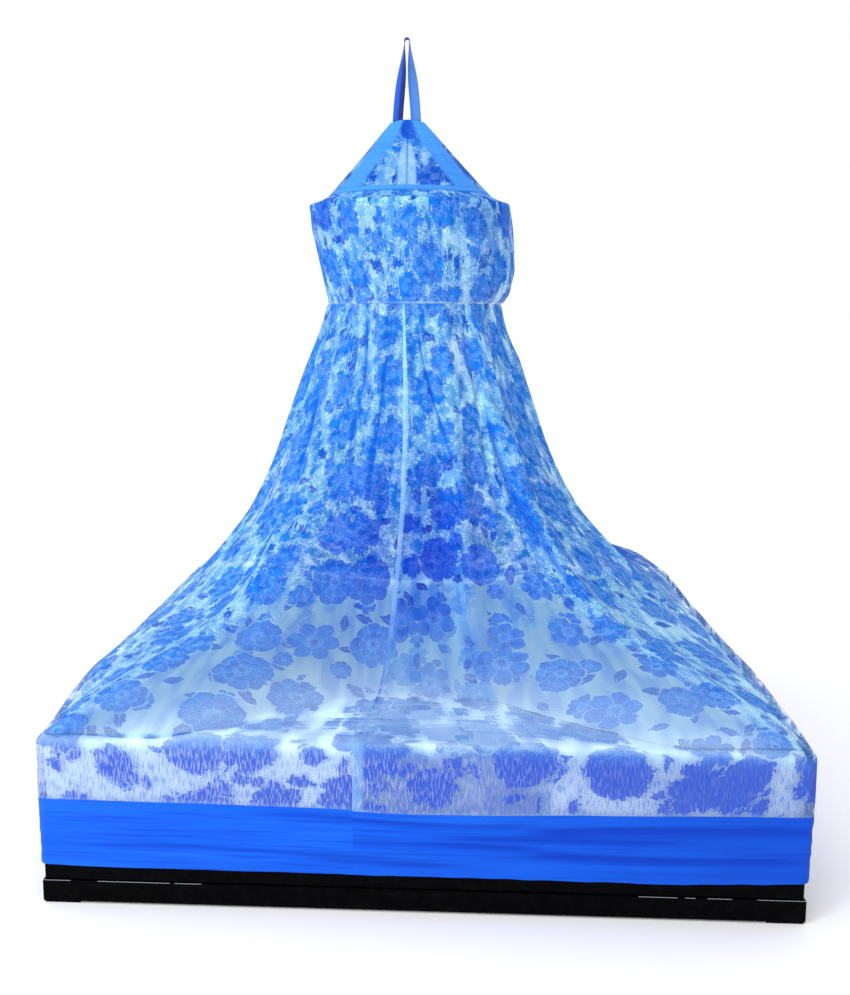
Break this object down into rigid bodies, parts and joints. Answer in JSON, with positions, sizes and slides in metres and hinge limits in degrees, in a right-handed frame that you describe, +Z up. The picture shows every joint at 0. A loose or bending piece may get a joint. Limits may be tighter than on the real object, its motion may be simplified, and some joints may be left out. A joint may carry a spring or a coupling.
{
  "type": "mosquito net canopy on a bed",
  "caption": "Round tapered mosquito net with a short gathered valance and solid crown gores, hung by a tape loop and draped over a plain double bed to a solid border.",
  "frame": {"origin": "on the floor, below the middle of the bed", "axes": "+Z up, +X to the right along the foot of the bed as seen from there, +Y from the foot of the bed to its head"},
  "size_m": [1.836, 1.9894, 2.204],
  "materials": {
    "printed_net": "pale blue net with a blue floral print",
    "solid_cloth": "matt blue plain weave",
    "coated_wire": "pale coating",
    "ticking": "plain pale cloth",
    "black_lacquer": "black gloss lacquer"
  },
  "bodies": {
    "root": {"skirt_net": "printed_net", "skirt_border": "solid_cloth", "valance_net": "printed_net", "hoop": "coated_wire", "crown_band": "solid_cloth", "crown_cloth_front_right": "solid_cloth", "crown_cloth_front_left": "solid_cloth", "crown_cloth_back_right": "solid_cloth", "crown_cloth_back_left": "solid_cloth", "crown_net_front": "printed_net", "crown_net_right": "printed_net", "crown_net_left": "printed_net", "crown_net_back": "printed_net", "hanging_tape": "solid_cloth", "mattress": "ticking", "bed_frame": "black_lacquer", "bed_plinth": "black_lacquer", "foot_front_left": "black_lacquer", "foot_front_right": "black_lacquer", "foot_back_left": "black_lacquer", "foot_back_right": "black_lacquer"}
  },
  "joints": []
}
